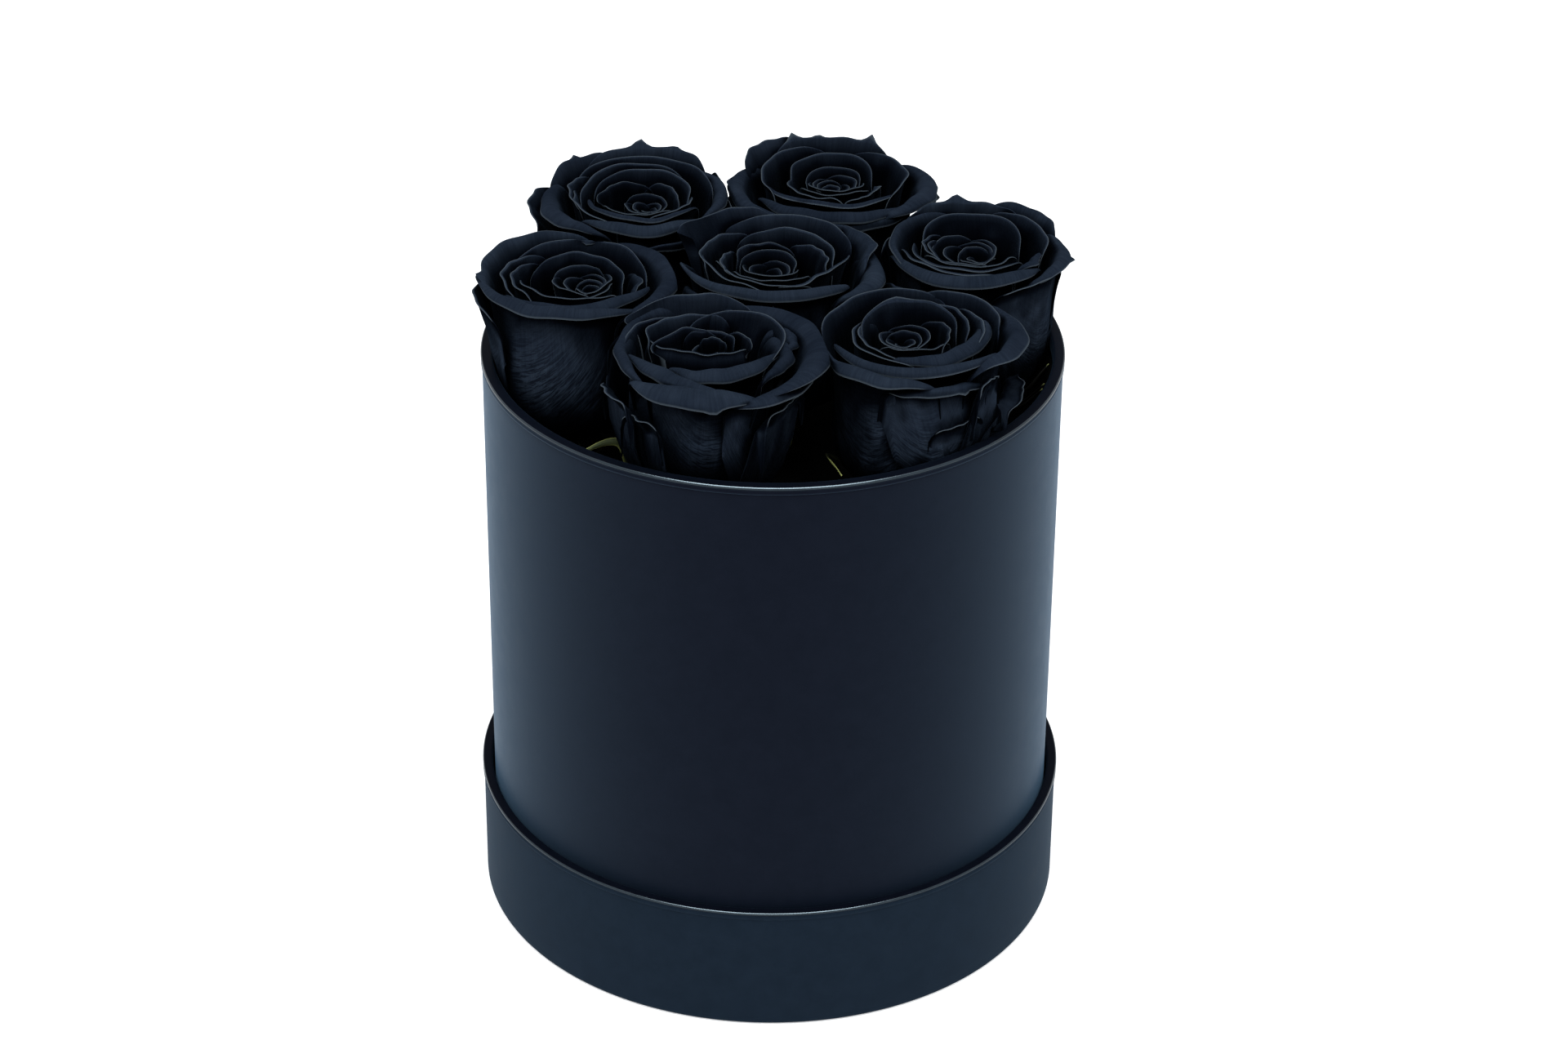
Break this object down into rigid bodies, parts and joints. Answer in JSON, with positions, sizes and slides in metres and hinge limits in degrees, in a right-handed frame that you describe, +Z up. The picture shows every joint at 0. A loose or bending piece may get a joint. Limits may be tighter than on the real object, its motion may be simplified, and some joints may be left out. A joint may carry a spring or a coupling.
{
  "type": "flower box",
  "caption": "Round paper-covered flower box standing in its upturned lid, with a bunch of preserved roses whose stems pull out of a dry foam block.",
  "frame": {"origin": "centre of the lid's underside, on the surface the box stands on", "axes": "+Z up along the box's axis, -Y towards the front, +X to the right of someone who looks at the front"},
  "size_m": [0.1662, 0.1662, 0.195],
  "materials": {
    "covering_paper": "satin",
    "lining_paper": "matte",
    "greyboard": "matte",
    "foam": "matte",
    "tape": "matte",
    "petals": "matte",
    "sepals": "matte",
    "stem": "matte"
  },
  "bodies": {
    "lid": {"lid_board_wall": "greyboard", "lid_board_disc": "greyboard", "lid_cover_paper": "covering_paper", "lid_face_paper": "covering_paper", "lid_wall_lining": "lining_paper", "lid_floor_lining": "lining_paper", "lid_rim_binding": "covering_paper"},
    "box": {"box_board_wall": "greyboard", "box_board_base": "greyboard", "box_cover_paper": "covering_paper", "box_base_paper": "lining_paper", "box_wall_lining": "lining_paper", "box_floor_lining": "lining_paper", "box_rim_binding": "covering_paper", "foam_block": "foam", "foam_tape_pads": "tape"},
    "rose_centre": {"rose_centre_outer_petals": "petals", "rose_centre_middle_petals": "petals", "rose_centre_heart": "petals", "rose_centre_calyx": "sepals", "rose_centre_stem": "stem"},
    "rose_right": {"rose_right_outer_petals": "petals", "rose_right_middle_petals": "petals", "rose_right_heart": "petals", "rose_right_calyx": "sepals", "rose_right_stem": "stem"},
    "rose_back_right": {"rose_back_right_outer_petals": "petals", "rose_back_right_middle_petals": "petals", "rose_back_right_heart": "petals", "rose_back_right_calyx": "sepals", "rose_back_right_stem": "stem"},
    "rose_back_left": {"rose_back_left_outer_petals": "petals", "rose_back_left_middle_petals": "petals", "rose_back_left_heart": "petals", "rose_back_left_calyx": "sepals", "rose_back_left_stem": "stem"},
    "rose_left": {"rose_left_outer_petals": "petals", "rose_left_middle_petals": "petals", "rose_left_heart": "petals", "rose_left_calyx": "sepals", "rose_left_stem": "stem"},
    "rose_front_left": {"rose_front_left_outer_petals": "petals", "rose_front_left_middle_petals": "petals", "rose_front_left_heart": "petals", "rose_front_left_calyx": "sepals", "rose_front_left_stem": "stem"},
    "rose_front_right": {"rose_front_right_outer_petals": "petals", "rose_front_right_middle_petals": "petals", "rose_front_right_heart": "petals", "rose_front_right_calyx": "sepals", "rose_front_right_stem": "stem"}
  },
  "joints": [
    {"name": "box_lift", "type": "slide", "parent": "lid", "child": "box", "axis": [0, 0, 1], "range_m": [0, 0.06]},
    {"name": "rose_centre_pull", "type": "slide", "parent": "box", "child": "rose_centre", "axis": [0, 0, 1], "range_m": [0, 0.11]},
    {"name": "rose_right_pull", "type": "slide", "parent": "box", "child": "rose_right", "axis": [0, 0, 1], "range_m": [0, 0.11]},
    {"name": "rose_back_right_pull", "type": "slide", "parent": "box", "child": "rose_back_right", "axis": [0, 0, 1], "range_m": [0, 0.11]},
    {"name": "rose_back_left_pull", "type": "slide", "parent": "box", "child": "rose_back_left", "axis": [0, 0, 1], "range_m": [0, 0.11]},
    {"name": "rose_left_pull", "type": "slide", "parent": "box", "child": "rose_left", "axis": [0, 0, 1], "range_m": [0, 0.11]},
    {"name": "rose_front_left_pull", "type": "slide", "parent": "box", "child": "rose_front_left", "axis": [0, 0, 1], "range_m": [0, 0.11]},
    {"name": "rose_front_right_pull", "type": "slide", "parent": "box", "child": "rose_front_right", "axis": [0, 0, 1], "range_m": [0, 0.11]}
  ]
}
